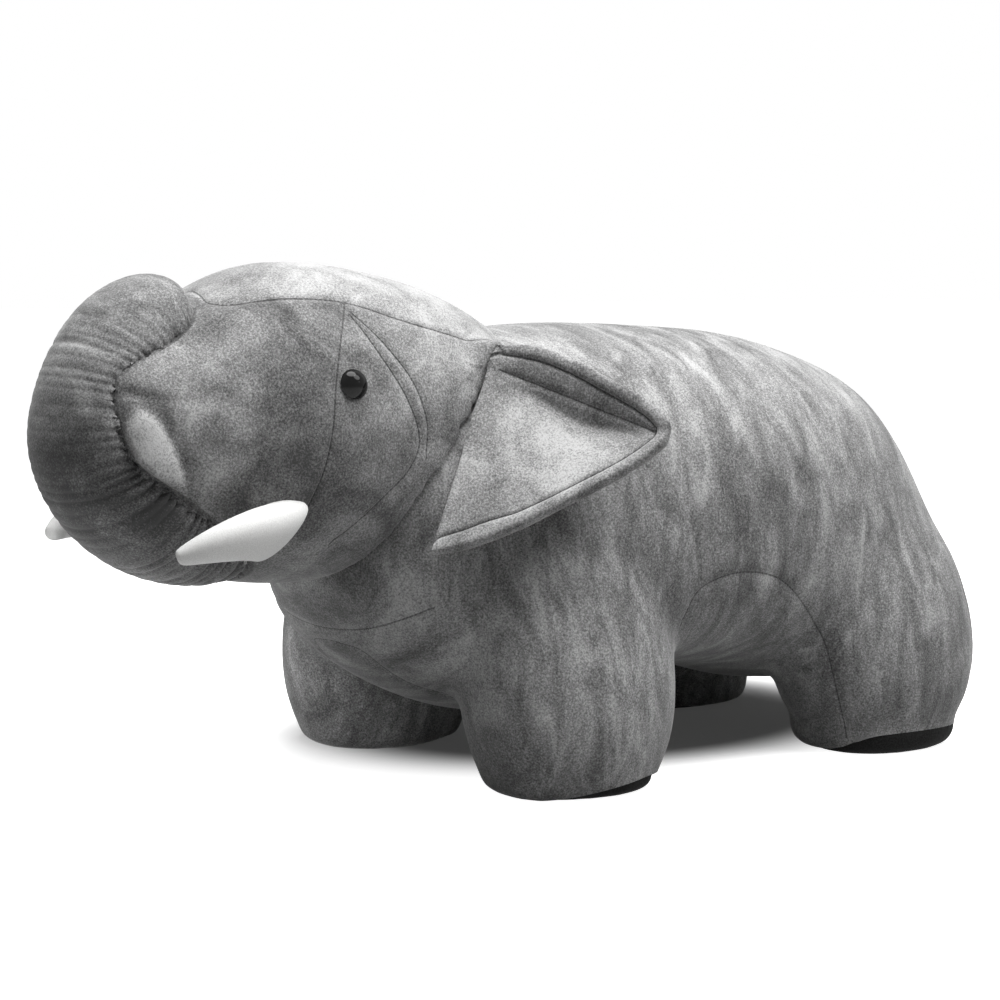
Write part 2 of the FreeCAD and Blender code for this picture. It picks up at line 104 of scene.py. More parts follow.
def pine_material():
    """Planed pine: rings stretched along the board, with darker late wood."""
    material, shader = new_material("planed_pine")
    place = add_node(material, "TexCoord")
    stretch = add_node(material, "Mapping")
    stretch.inputs["Scale"].default_value = (60.0, 9.0, 60.0)
    link(material, place.outputs["Object"], stretch.inputs["Vector"])
    grain = add_node(material, "TexNoise", scale=1.0, detail=7.0, roughness=0.6, distortion=1.4)
    link(material, stretch.outputs["Vector"], grain.inputs["Vector"])
    stops = ((0.35, (0.36, 0.2, 0.09)), (0.5, (0.62, 0.42, 0.22)), (0.68, (0.72, 0.53, 0.31)))
    link(material, colour_ramp(material, grain.outputs["Fac"], stops), shader.inputs["Base Color"])
    bump = add_node(material, "Bump", strength=0.2, distance=0.0006)
    link(material, grain.outputs["Fac"], bump.inputs["Height"])
    link(material, bump.outputs["Normal"], shader.inputs["Normal"])
    shader.inputs["Roughness"].default_value = 0.6
    return material


def steel_material():
    """Zinc-plated screw steel with a fine blotchy finish."""
    material, shader = new_material("zinc_steel")
    place = add_node(material, "TexCoord")
    spots = add_node(material, "TexNoise", scale=400.0, detail=4.0)
    link(material, place.outputs["Object"], spots.inputs["Vector"])
    stops = ((0.3, (0.42, 0.42, 0.4)), (0.7, (0.66, 0.66, 0.64)))
    link(material, colour_ramp(material, spots.outputs["Fac"], stops), shader.inputs["Base Color"])
    shader.inputs["Metallic"].default_value = 1.0
    shader.inputs["Roughness"].default_value = 0.38
    return material


def finish_nodes(material, *nodes):
    """Gives CAD nodes a finish in place of their plain one."""
    for node in nodes:
        for slot in frame["nodes"][node].material_slots:
            slot.material = material


corners = [f"{end}_{side}" for end in ("front", "rear") for side in ("left", "right")]
posts = [f"{corner}_post" for corner in corners]
foot_boards = [f"{corner}_foot_board" for corner in corners]
rails = ["front_cross_rail", "rear_cross_rail", "left_side_rail", "right_side_rail"]
boards = posts + rails + ["seat_board", "neck_beam"]
finish_nodes(pine_material(), *boards, *foot_boards)
finish_nodes(steel_material(), "seat_board_screws", "frame_screws")


# Body and legs: one sewn skin of marled grey suede cloth, stuffed firm over the frame and the foam.
# A copy of the CAD covers and fillings is remeshed into one skin, its shoulders and hips are
# smoothed over, cloth pressure swells it between its seams, and the seams are then drawn in.


def points_of(mesh):
    """The places of the mesh's points, one row for each."""
    points = np.empty(len(mesh.vertices) * 3)
    mesh.vertices.foreach_get("co", points)
    return points.reshape(-1, 3)


def normals_of(mesh):
    """The outward directions at the mesh's points, one row for each."""
    normals = np.empty(len(mesh.vertices) * 3)
    mesh.vertices.foreach_get("normal", normals)
    return normals.reshape(-1, 3)


def move_points(mesh, points):
    """Puts each point of the mesh in its new place."""
    mesh.vertices.foreach_set("co", points.ravel())
    mesh.update()


def write_values(mesh, name, values):
    """Stores one number or one vector for each point of the mesh, for its material."""
    kind, key = ("FLOAT_VECTOR", "vector") if values.ndim == 2 else ("FLOAT", "value")
    attribute = mesh.attributes.new(name, kind, "POINT")
    attribute.data.foreach_set(key, values.astype(np.float32).ravel())


def apply_modifier(piece, kind, **settings):
    """Adds a modifier with its settings and applies it."""
    modifier = piece.modifiers.new(kind.title(), kind)
    for key, value in settings.items():
        setattr(modifier, key, value)
    bpy.ops.object.select_all(action="DESELECT")
    bpy.context.view_layer.objects.active = piece
    piece.select_set(True)
    bpy.ops.object.modifier_apply(modifier=modifier.name)


def outer_skin(name, nodes, voxel):
    """One closed skin round copies of the CAD nodes, without the hollows inside it."""
    bpy.ops.object.select_all(action="DESELECT")
    for node in nodes:
        copy = bpy.data.objects.new(name, frame["nodes"][node].data.copy())
        bpy.context.collection.objects.link(copy)
        copy.select_set(True)
        bpy.context.view_layer.objects.active = copy
    bpy.ops.object.join()
    skin = bpy.context.view_layer.objects.active
    skin.name = name
    skin.data.materials.clear()
    bpy.ops.object.mode_set(mode="EDIT")
    bpy.ops.mesh.select_all(action="SELECT")
    bpy.ops.mesh.remove_doubles(threshold=0.00001)
    bpy.ops.object.mode_set(mode="OBJECT")
    apply_modifier(skin, "REMESH", mode="VOXEL", voxel_size=voxel)
    bpy.ops.object.mode_set(mode="EDIT")
    bpy.ops.mesh.select_all(action="DESELECT")
    bpy.ops.object.mode_set(mode="OBJECT")
    highest = int(points_of(skin.data)[:, 2].argmax())
    skin.data.vertices[highest].select = True
    bpy.ops.object.mode_set(mode="EDIT")
    bpy.ops.mesh.select_linked()
    bpy.ops.mesh.select_all(action="INVERT")
    bpy.ops.mesh.delete(type="VERT")
    bpy.ops.object.mode_set(mode="OBJECT")
    return skin


def smooth_over(piece, rounds, weights=None):
    """Relaxes the skin, more where the weights are higher."""
    settings = {"factor": 0.5, "iterations": rounds}
    if weights is not None:
        group = piece.vertex_groups.new(name="relaxed")
        for index, weight in enumerate(weights):
            group.add([index], float(weight), "REPLACE")
        settings["vertex_group"] = group.name
    apply_modifier(piece, "SMOOTH", **settings)


def ramp_between(values, low, high):
    """0 below low, 1 above high, and a smooth ramp between them."""
    share = np.clip((values - low) / (high - low), 0.0, 1.0)
    return share * share * (3.0 - 2.0 * share)


def smooth_line(points, step=0.0015):
    """Points every step along a smooth line through the given ones."""
    points = np.array(points, dtype=float)
    ends = 2 * points[0] - points[1], 2 * points[-1] - points[-2]
    row = np.vstack([ends[0], points, ends[1]])
    line = []
    for before, start, end, after in zip(row, row[1:], row[2:], row[3:]):
        count = max(2, int(np.linalg.norm(end - start) / step))
        t = np.linspace(0.0, 1.0, count, endpoint=False)[:, None]
        bend = (2 * before - 5 * start + 4 * end - after) * t**2
        twist = (3 * start - before - 3 * end + after) * t**3
        line.append(start + 0.5 * ((end - before) * t + bend + twist))
    return np.vstack(line + [points[-1:]])


def surface_of(piece):
    """The skin of a piece as it is now, to measure from."""
    return BVHTree.FromObject(piece, bpy.context.evaluated_depsgraph_get())


def distances(points, surface):
    """How far each point lies from a surface."""
    return np.array([surface.find_nearest(Vector(point))[3] for point in points])


def lay_line(surface, points):
    """A smooth line through the points, laid on the skin: its places and the skin's normals there."""
    found = [surface.find_nearest(Vector(p))[:2] for p in smooth_line(points)]
    return np.array([place for place, _ in found]), np.array([normal for _, normal in found])


def both_sides(points):
    """A line given in millimetres, and its mirror image, both in metres."""
    left = np.array(points) / 1000.0
    return left, left * (-1.0, 1.0, 1.0)


class LineField:
    """Where each point of a mesh lies beside the nearest of some lines."""

    def __init__(self, points, lines):
        places = np.vstack([line[0] for line in lines])
        along = np.vstack([np.gradient(line[0], axis=0) for line in lines])
        sides = np.cross(along, np.vstack([line[1] for line in lines]))
        sides /= np.linalg.norm(sides, axis=1, keepdims=True) + 1e-12
        steps = [np.linalg.norm(np.diff(line[0], axis=0, prepend=line[0][:1]), axis=1) for line in lines]
        runs = np.concatenate([np.cumsum(step) for step in steps])
        tree = kdtree.KDTree(len(places))
        for index, place in enumerate(places):
            tree.insert(place, index)
        tree.balance()
        nearest = np.array([tree.find(point)[1] for point in points])
        self.offset = points - places[nearest]
        self.distance = np.linalg.norm(self.offset, axis=1)
        self.side = np.einsum("ij,ij->i", self.offset, sides[nearest])
        self.run = runs[nearest]


def stuff(piece, held, cap, pressure=4.0):
    """Swells the skin like stuffing: cloth under pressure, held where told, moving by cap at most."""
    group = piece.vertex_groups.new(name="held")
    group.add([int(index) for index in np.flatnonzero(held)], 1.0, "REPLACE")
    before = points_of(piece.data)
    cloth = piece.modifiers.new("Stuffing", "CLOTH")
    cloth.settings.use_pressure = True
    cloth.settings.uniform_pressure_force = pressure
    cloth.settings.effector_weights.gravity = 0.0
    cloth.settings.vertex_group_mass = group.name
    cloth.settings.quality = 4
    cloth.collision_settings.use_collision = False
    frames = 20
    cloth.point_cache.frame_start = 1
    cloth.point_cache.frame_end = frames
    for number in range(1, frames + 1):
        bpy.context.scene.frame_set(number)
    bpy.ops.object.select_all(action="DESELECT")
    bpy.context.view_layer.objects.active = piece
    bpy.ops.object.modifier_apply(modifier=cloth.name)
    bpy.context.scene.frame_set(1)
    moved = points_of(piece.data) - before
    length = np.linalg.norm(moved, axis=1, keepdims=True)
    moved *= cap * np.tanh(length / cap) / np.maximum(length, 1e-9)
    move_points(piece.data, before + moved)


def sew(piece, lines, depth, width, neighbours=()):
    """Draws the skin in along its seams and stores where they lie, for the thread and the shadow."""
    mesh = piece.data
    points = points_of(mesh)
    field = LineField(points, lines)
    groove = depth * np.exp(-((field.distance / width) ** 2))
    side, distance = field.side, field.distance
    for surface in neighbours:
        apart = distances(points, surface)
        closer = apart < distance
        side = np.where(closer, apart, side)
        distance = np.where(closer, apart, distance)
    move_points(mesh, points - normals_of(mesh) * groove[:, None])
    write_values(mesh, "seam_side", side)
    write_values(mesh, "seam_distance", distance)
    write_values(mesh, "seam_run", field.run)


def suede_material():
    """Marled grey suede cloth: brushed streaks along the nap, mottled patches, a fine grain,
    and the stitched seams, from the values that each skin stores."""
    material, shader = new_material("marled_suede")

    def value_of(name, output="Fac"):
        return add_node(material, "Attribute", attribute_name=name).outputs[output]

    def formula(operation, *values):
        node = add_node(material, "Math", operation=operation)
        for socket, value in zip(node.inputs, values):
            if isinstance(value, (int, float)):
                socket.default_value = value
            else:
                link(material, value, socket)
        return node.outputs[0]

    def noise(coordinates, scale, detail, roughness, distortion=0.0):
        node = add_node(material, "TexNoise", scale=scale, detail=detail)
        node.inputs["Roughness"].default_value = roughness
        node.inputs["Distortion"].default_value = distortion
        link(material, coordinates, node.inputs["Vector"])
        return node.outputs["Fac"]

    nap = value_of("nap", "Vector")
    coordinates = add_node(material, "TexCoord")
    place = coordinates.outputs["Object"]
    painted_top_light = add_node(material, "SeparateXYZ")
    link(material, coordinates.outputs["Normal"], painted_top_light.inputs["Vector"])
    patches = noise(nap, scale=5.5, detail=3.0, roughness=0.5, distortion=0.5)
    streaks = noise(nap, scale=15.0, detail=5.0, roughness=0.6, distortion=0.9)
    wisps = noise(place, scale=130.0, detail=5.0, roughness=0.65, distortion=0.8)
    grain = noise(place, scale=640.0, detail=2.0, roughness=0.7)
    patch_share, streak_share, wisp_share, grain_share, top_share = 0.34, 0.56, 0.1, 0.62, 0.05
    marl = formula("MULTIPLY", patches, patch_share)
    marl = formula("ADD", marl, formula("MULTIPLY", streaks, streak_share))
    marl = formula("ADD", marl, formula("MULTIPLY", wisps, wisp_share))
    marl = formula("ADD", marl, formula("MULTIPLY", formula("SUBTRACT", grain, 0.5), grain_share))
    # Upward-facing cloth is painted lighter and downward-facing cloth darker: painted light and shade.
    marl = formula("ADD", marl, formula("MULTIPLY", painted_top_light.outputs["Z"], top_share))
    # The stored tone holds each skin's own paler parts and its painted light and shade.
    marl = formula("ADD", marl, value_of("tone"))
    stops = ((0.33, 0.065), (0.45, 0.16), (0.55, 0.28), (0.70, 0.54))
    cloth = colour_ramp(material, marl, stops)

    seam_near, stitch_length, stitch_gap = 0.006, 0.0042, 0.2
    side = formula("ABSOLUTE", value_of("seam_side"))
    near = formula("LESS_THAN", value_of("seam_distance"), seam_near)
    edge = add_node(material, "MapRange", interpolation_type="SMOOTHSTEP")
    edge.inputs["From Min"].default_value = 0.0003
    edge.inputs["From Max"].default_value = 0.0012
    edge.inputs["To Min"].default_value = 1.0
    edge.inputs["To Max"].default_value = 0.0
    link(material, side, edge.inputs["Value"])
    seam = formula("MULTIPLY", edge.outputs["Result"], near)
    stitch = formula("SINE", formula("MULTIPLY", value_of("seam_run"), 2.0 * math.pi / stitch_length))
    thread = formula("ADD", 1.0 - stitch_gap, formula("MULTIPLY", stitch, stitch_gap))
    seam = formula("MULTIPLY", seam, thread)
    # Along the seams the cloth is darker: the thread, and painted shadow in the groove.
    dark = add_node(material, "MixRGB", blend_type="MULTIPLY")
    dark.inputs["Color2"].default_value = (0.36, 0.36, 0.36, 1.0)
    link(material, seam, dark.inputs["Fac"])
    link(material, cloth, dark.inputs["Color1"])
    link(material, dark.outputs["Color"], shader.inputs["Base Color"])

    grain_height, wisp_height, seam_depth = 0.35, 0.65, 1.4
    height = formula("MULTIPLY", grain, grain_height)
    height = formula("ADD", height, formula("MULTIPLY", wisps, wisp_height))
    height = formula("SUBTRACT", height, formula("MULTIPLY", seam, seam_depth))
    bump = add_node(material, "Bump", strength=0.55, distance=0.0011)
    link(material, height, bump.inputs["Height"])
    link(material, bump.outputs["Normal"], shader.inputs["Normal"])
    shader.inputs["Roughness"].default_value = 0.88
    shader.inputs["Specular IOR Level"].default_value = 0.2
    shader.inputs["Sheen Weight"].default_value = 0.35
    shader.inputs["Sheen Roughness"].default_value = 0.45
    shader.inputs["Sheen Tint"].default_value = (0.8, 0.8, 0.8, 1.0)
    return material


def dress(piece, material, body):
    """Smooth shading, the finish and the body it rides on."""
    bpy.ops.object.select_all(action="DESELECT")
    piece.select_set(True)
    bpy.context.view_layer.objects.active = piece
    bpy.ops.object.shade_smooth_by_angle(angle=math.radians(50.0))
    piece.data.materials.append(material)
    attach(piece, body)


suede = suede_material()
leg_nodes = [f"{corner}_leg_{layer}" for corner in corners for layer in ("cover", "padding")]
body_nodes = ["body_cover", "body_padding", "seat_foam", *leg_nodes]
soles = [f"{corner}_sole" for corner in corners]
body = outer_skin("body_skin", body_nodes + boards + foot_boards + soles, voxel=0.006)

hem_height, shoulder_height, foot_share = 0.03, 0.11, 0.08
raised = ramp_between(points_of(body.data)[:, 2], hem_height, shoulder_height)
smooth_over(body, rounds=34, weights=foot_share + (1.0 - foot_share) * raised)

# Smoothing draws in the corners of the rump, so they are filled out again.
points = points_of(body.data)
rump_corner, rump_outward = np.array((0.155, 0.375, 0.212)), np.array((0.6, 0.8, 0.0))
rump_reach, rump_fill = 0.075, 0.010
for mirror in ((1.0, 1.0, 1.0), (-1.0, 1.0, 1.0)):
    apart = np.linalg.norm(points - rump_corner * mirror, axis=1)
    share = np.exp(-((apart / rump_reach) ** 2))
    points += rump_outward * mirror * (rump_fill * share)[:, None]
move_points(body.data, points)

chest_seam = [(-120, -151, 156), (-99, -164, 146), (-53, -173, 134), (0, -177, 130)]
chest_seam += [(53, -173, 134), (99, -164, 146), (120, -151, 156)]
brisket_seams = both_sides([(8, -168, 118), (38, -160, 112), (50, -121, 84), (72, -91, 74)])
arch_seams = both_sides(
    [(181, 64, 138), (190, 76, 163), (194, 112, 174), (193, 156, 168), (184, 193, 144), (177, 228, 104),
     (180, 240, 62), (176, 256, 22)]
)
rump_seams = both_sides([(62, 408, 322), (132, 406, 260), (180, 398, 190), (200, 396, 110), (192, 396, 20)])
body_lines = [both_sides(chest_seam)[0], *brisket_seams, *arch_seams, *rump_seams]

# The cloth is held at its seams, at the floor and where the head sits against the chest.
seam_hold, floor_hold, chest_front = 0.006, 0.024, -0.2
surface = surface_of(body)
points = points_of(body.data)
field = LineField(points, [lay_line(surface, line) for line in body_lines])
under_head = points[:, 1] < chest_front
on_floor = points[:, 2] < floor_hold
stuff(body, (field.distance < seam_hold) | on_floor | under_head, cap=0.004)
apply_modifier(body, "SUBSURF", levels=1, render_levels=1)
surface = surface_of(body)
sew(body, [lay_line(surface, line) for line in body_lines], depth=0.0016, width=0.004)

# The hem of each leg: low over the front of the sole, then rising to a level edge behind it.
# Each is given by its low and its high end, the place along the foot and the height at the outer
# side, and by its fall towards the inner side.
hems = {
    "front": ((-0.065, 0.002), (0.035, 0.016), 0.09),
    "rear": ((-0.078, 0.001), (-0.062, 0.021), 0.14),
}


def cut_below(piece, picked, place, normal, clear):
    """Cuts the picked part of the skin along a plane, and can take away what lies below it."""
    bpy.ops.object.mode_set(mode="EDIT")
    bpy.ops.mesh.select_mode(type="VERT")
    bpy.ops.mesh.select_all(action="DESELECT")
    bpy.ops.object.mode_set(mode="OBJECT")
    piece.data.vertices.foreach_set("select", picked)
    bpy.ops.object.mode_set(mode="EDIT")
    bpy.ops.mesh.select_mode(type="VERT")
    bpy.ops.mesh.bisect(plane_co=place, plane_no=normal, clear_inner=clear)
    bpy.ops.object.mode_set(mode="OBJECT")


foot_reach, foot_top, touch = 0.14, 0.05, 0.00001
for corner in corners:
    (low_y, low_z), (high_y, high_z), fall = hems[corner.split("_")[0]]
    low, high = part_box(f"{corner}_sole")
    middle = (low[1] + high[1]) / 2
    outward = 1.0 if "left" in corner else -1.0
    outer_x = high[0] if "left" in corner else low[0]
    slope = (high_z - low_z) / (high_y - low_y)
    for edge in (low_y, high_y):
        points = points_of(body.data)
        picked = (np.abs(points[:, 1] - middle) < foot_reach) & (points[:, 2] < foot_top)
        picked &= points[:, 0] * outward > 0.0
        cut_below(body, picked, (0.0, middle + edge, 0.0), (0.0, 1.0, 0.0), False)
    spans = (
        (-foot_reach, low_y, low_z, 0.0),
        (low_y, high_y, low_z, slope),
        (high_y, foot_reach, high_z, 0.0),
    )
    for start, stop, height, rise in spans:
        points = points_of(body.data)
        along = points[:, 1] - middle
        picked = (along > start - touch) & (along < stop + touch) & (points[:, 2] < foot_top)
        picked &= points[:, 0] * outward > 0.0
        place = (outer_x, middle + max(start, low_y), height)
        cut_below(body, picked, place, (-fall * outward, -rise, 1.0), True)
bpy.ops.object.mode_set(mode="EDIT")
bpy.ops.mesh.select_all(action="SELECT")
bpy.ops.mesh.fill_holes(sides=0)
bpy.ops.object.mode_set(mode="OBJECT")

# The nap is brushed round the girth, so the streaks are short along the body.
nap_stretch = 3.0
girth = points_of(body.data) * (1.0, nap_stretch, 1.0)
write_values(body.data, "nap", girth)
write_values(body.data, "tone", np.zeros(len(girth)))
dress(body, suede, "root")
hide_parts(*body_nodes)


# Head: the same suede stuffed tight, with a paler panel let into the forehead and the crown.
# It is sewn to the body at the neck. Darts shape its cheeks, and the seam of the trunk pulls the
# muzzle into a soft roll.


def heights(points, surface):
    """How far each point lies above a surface, or below it as a negative number."""
    found = [(Vector(point), *surface.find_nearest(Vector(point))[:2]) for point in points]
    return np.array([(point - place).length * math.copysign(1.0, (point - place).dot(normal))
                     for point, place, normal in found])


head_nodes = ["head_cover", "forehead_panel", "head_filling"]
head = outer_skin("head_skin", head_nodes, voxel=0.004)
smooth_over(head, rounds=8)

panel_edge = [(88, -20, 355), (94, -112, 375), (94, -160, 388), (86, -205, 402), (78, -243, 405)]
panel_edge += [(63, -281, 403), (54, -293, 401), (46, -299, 401), (35, -303, 403)]
panel_edge += [(20, -300, 408), (0, -296, 411)]
face_seam = [(86, -207, 401), (106, -223, 373), (118, -235, 338), (122, -241, 304)]
face_seam += [(120, -248, 273), (112, -257, 246)]
dart_front = [(96, -206, 390), (112, -190, 361), (122, -170, 325), (124, -161, 293)]
dart_front += [(123, -170, 270), (118, -191, 249), (100, -226, 216)]
dart_back = [(95, -203, 392), (110, -180, 365), (119, -162, 338), (123, -153, 308), (123, -154, 284)]
head_seams = (panel_edge, face_seam, dart_front, dart_back)
head_lines = [line for seam in head_seams for line in both_sides(seam)]

seam_hold, neck_hold = 0.004, 0.01
surface = surface_of(head)
points = points_of(head.data)
field = LineField(points, [lay_line(surface, line) for line in head_lines])
body_surface = surface_of(body)
at_body = distances(points, body_surface) < neck_hold
stuff(head, (field.distance < seam_hold) | at_body, cap=0.003)
apply_modifier(head, "SUBSURF", levels=1, render_levels=1)
surface = surface_of(head)
trunk_surface = surface_of(frame["nodes"]["trunk_cover"])
laid = [lay_line(surface, line) for line in head_lines]
sew(head, laid, depth=0.0014, width=0.003, neighbours=(body_surface, trunk_surface))

# The muzzle's roll: a full lip beside the trunk seam, with a soft valley behind it and a pinched top.
roll_width, roll_fade, lip_start = 0.036, 1.6, 0.006
lip_height, lip_swell, swell_start = 0.004, 0.006, 0.03
top_fade, low_fade = 0.015, 0.07
valley = both_sides([(70, -385, 333), (82, -370, 318), (88, -361, 299), (89, -352, 276), (85, -344, 252)])
points = points_of(head.data)
surface = surface_of(head)
field = LineField(points, [lay_line(surface, line) for line in valley])
between_ends = ramp_between(field.run, 0.0, top_fade)
between_ends *= 1.0 - ramp_between(field.run, low_fade, field.run.max())
crescent = ramp_between(-field.offset[:, 1], 0.0, lip_start) * between_ends
crescent *= 1.0 - ramp_between(field.distance, roll_width, roll_fade * roll_width)

# Where the trunk covers it, the head's cloth lies sunk, and the lip starts outside the trunk's seam.
cover_thickness, trunk_near = 0.00235, 0.015
seam_start, seam_reach = 0.0008, 0.007
sunk, sunk_low, sunk_high = 0.004, -0.005, -0.001
above = heights(points, surface_of(frame["nodes"]["trunk_filling"])) - cover_thickness
above[distances(points, trunk_surface) > trunk_near] = trunk_near
outside = ramp_between(above, seam_start, seam_reach)
under_trunk = 1.0 - ramp_between(above, sunk_low, sunk_high)
lip = np.sin(np.clip(field.distance / roll_width, 0.0, 1.0) * math.pi / 2) * crescent * outside
dent_width, fold_width, fold_length, pinch_depth = 0.009, 0.005, 0.03, 0.0018
dent = np.exp(-((field.distance / dent_width) ** 2)) * between_ends
folds = both_sides([(67, -387, 335), (78, -373, 332), (90, -348, 329), (103, -315, 326)])
fold_field = LineField(points, [lay_line(surface, line) for line in folds])
fold = np.exp(-((fold_field.distance / fold_width) ** 2)) * np.exp(-fold_field.run / fold_length)
full = lip_height + lip_swell * ramp_between(field.run, swell_start, low_fade)
moved = full * lip - pinch_depth * dent - pinch_depth * fold - sunk * under_trunk
move_points(head.data, points + normals_of(head.data) * moved[:, None])

# Each ear is sewn to a raised root: the cloth is drawn out to the line that the ear bends about.
ear_bend = [(108, -72, 364), (111, -80, 351), (113, -87, 338), (116, -94, 325)]
root_crest, root_spread, root_overlap = 0.003, 0.022, 1.15
for line in both_sides(ear_bend):
    points = points_of(head.data)
    feet, outward = lay_line(surface_of(head), line)
    field = LineField(points, [(feet, outward)])
    fading = (1.0 - field.run / field.run.max()) ** 2
    raised = fading * (1.0 - ramp_between(field.distance, root_crest, root_spread))
    move_points(head.data, points + root_overlap * (line[0] - feet[0]) * raised[:, None])

# The forehead panel is paler, out to its seam. The roll gets a painted highlight, and the face and the folds
# painted shade.
panel_tone, roll_highlight, face_shade, fold_shade = 0.09, 0.2, 0.045, 0.05
panel_out, panel_in, panel_low = -0.0005, 0.0015, 0.33
face_start, face_full = 0.24, 0.27
side_edge = both_sides(panel_edge[:-2])[0]
edge_x, edge_y = side_edge[::-1, :2].T
inside = np.interp(points[:, 1], edge_y, edge_x, left=-1.0) - np.abs(points[:, 0])
on_panel = ramp_between(inside, panel_out, panel_in) * (points[:, 2] > panel_low)
on_face = ramp_between(-points[:, 1], face_start, face_full) * (1.0 - on_panel)
tone = panel_tone * on_panel + roll_highlight * crescent * outside - face_shade * on_face
tone -= fold_shade * dent + fold_shade * fold
even_nap = 1.25
write_values(head.data, "nap", points * even_nap)
write_values(head.data, "tone", tone)
dress(head, suede, "root")
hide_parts(*head_nodes)


# Trunk: a stuffed tube of suede curled up in front of the face. Its wide root is gathered into the
# seam round the muzzle in small pleats, and the curl leaves one crease across its front.


def tuck(piece, surface, reach, depth):
    """Carries the edge of a piece on into the skin that it is sewn to, so that it meets it cleanly."""
    points = points_of(piece.data)
    for index, point in enumerate(points):
        place, normal, _, apart = surface.find_nearest(Vector(point), reach)
        if place is not None:
            points[index] -= np.array(normal) * (depth * (1.0 - apart / reach) ** 2)
    move_points(piece.data, points)


curl_y, curl_z, curl_radius = -0.2995, 0.316, 0.072
trunk = outer_skin("trunk_skin", ["trunk_cover", "trunk_filling"], voxel=0.003)
smooth_over(trunk, rounds=8)
seam_hold = 0.006
head_surface = surface_of(head)
stuff(trunk, distances(points_of(trunk.data), head_surface) < seam_hold, cap=0.003)
apply_modifier(trunk, "SUBSURF", levels=1, render_levels=1)

# The pleats wander and differ in length, and they are shallow above the curl and deep below it.
pleat_width, pleat_depth, pleat_length, pleat_sharpness = 0.0075, 0.004, 0.02, 0.7
long_wave, short_wave, length_wave = 0.013, 0.0047, 0.0061
top_share, low_start, low_full = 0.25, 0.15, 0.6
seam_radius, seam_back, seam_front = 0.09, -0.001, 0.002
points = points_of(trunk.data)
angle = np.arctan2(points[:, 2] - curl_z, points[:, 1] - curl_y)
radius = np.hypot(points[:, 2] - curl_z, points[:, 1] - curl_y)
away = distances(points, head_surface)
run = angle * seam_radius
wander = 0.3 * np.sin(run / long_wave) + 0.2 * np.sin(run / short_wave + 1.0)
gather = 1.0 - np.abs(np.sin(math.pi * (run / pleat_width + wander))) ** pleat_sharpness
below = top_share + (1.0 - top_share) * ramp_between(-np.sin(angle), low_start, low_full)
reach = pleat_length * (0.75 + 0.5 * np.sin(run / length_wave) ** 2)
pleats = pleat_depth * gather * below * np.exp(-away / reach) * ramp_between(away, seam_back, seam_front)
crease_line = [(-55, -390, 356), (-32, -403, 371), (0, -406, 373), (32, -403, 371), (55, -390, 356)]
crease_field = LineField(points, [lay_line(surface_of(trunk), both_sides(crease_line)[0])])
crease_depth, crease_width, crease_span = 0.0014, 0.004, 0.04
crease_shape = (crease_field.distance / crease_width) ** 2 + (points[:, 0] / crease_span) ** 2
crease = crease_depth * np.exp(-crease_shape)
move_points(trunk.data, points - normals_of(trunk.data) * (pleats + crease)[:, None])
# Painted shade: the pleat valleys by the seam and the underside below the curl are darker.
pleat_shade, gather_reach = 0.17, 0.016
low_shade, shade_start, shade_full = 0.08, -0.05, 0.08
shaded = low_shade * ramp_between(curl_z - points[:, 2], shade_start, shade_full)
tone = -pleat_shade * np.exp(-away / gather_reach) * below * gather - shaded
round_curl = nap_stretch * angle * curl_radius
write_values(trunk.data, "nap", np.stack([points[:, 0], radius, round_curl], axis=1))
write_values(trunk.data, "tone", tone)
write_values(trunk.data, "seam_side", away)
write_values(trunk.data, "seam_distance", away)
tuck(trunk, head_surface, reach=0.008, depth=0.0055)
dress(trunk, suede, "root")
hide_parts("trunk_cover", "trunk_filling")


# Soles: pads of matt black non-slip cloth under the feet, sewn inside the hems of the legs.
# Each is a softened copy of its CAD pad, drawn in where the hem comes down over it.


def black_material(name, roughness, grain_scale, dark, pale, bump_height, shine=0.5):
    """Black cloth or plastic with a fine grain."""
    material, shader = new_material(name)
    place = add_node(material, "TexCoord")
    grain = add_node(material, "TexNoise", scale=grain_scale, detail=3.0)
    link(material, place.outputs["Object"], grain.inputs["Vector"])
    stops = ((0.35, dark), (0.65, pale))
    link(material, colour_ramp(material, grain.outputs["Fac"], stops), shader.inputs["Base Color"])
    bump = add_node(material, "Bump", strength=0.4, distance=bump_height)
    link(material, grain.outputs["Fac"], bump.inputs["Height"])
    link(material, bump.outputs["Normal"], shader.inputs["Normal"])
    shader.inputs["Roughness"].default_value = roughness
    shader.inputs["Specular IOR Level"].default_value = shine
    return material


hem_cover, hem_low, hem_high = 0.008, 0.002, 0.02
sole_cloth = black_material(
    "sole_cloth", roughness=0.9, grain_scale=700.0, dark=0.008, pale=0.022, bump_height=0.0006, shine=0.1
)
for corner in corners:
    sole = outer_skin(f"{corner}_sole_pad", [f"{corner}_sole"], voxel=0.004)
    smooth_over(sole, rounds=3)
    apply_modifier(sole, "SUBSURF", levels=1, render_levels=1)
    (low_y, low_z), (high_y, high_z), fall = hems[corner.split("_")[0]]
    low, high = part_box(f"{corner}_sole")
    middle = (Vector(low) + Vector(high)) / 2
    points = points_of(sole.data)
    out = (points - np.array(middle)) * (1.0, 1.0, 0.0)
    outer_x = max(abs(low[0]), abs(high[0]))
    hem = np.interp(out[:, 1], (low_y, high_y), (low_z, high_z)) + fall * (np.abs(points[:, 0]) - outer_x)
    covered = 1.0 - ramp_between(hem, hem_low, hem_high)
    out /= np.linalg.norm(out, axis=1, keepdims=True) + 1e-9
    move_points(sole.data, points - out * (hem_cover * covered)[:, None])
    dress(sole, sole_cloth, "root")
    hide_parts(f"{corner}_sole")


# Eyes: black moulded safety eyes, pushed through the cover and locked by a washer behind it.
# The CAD solids have the true shapes, so they stay and only get their plastic.

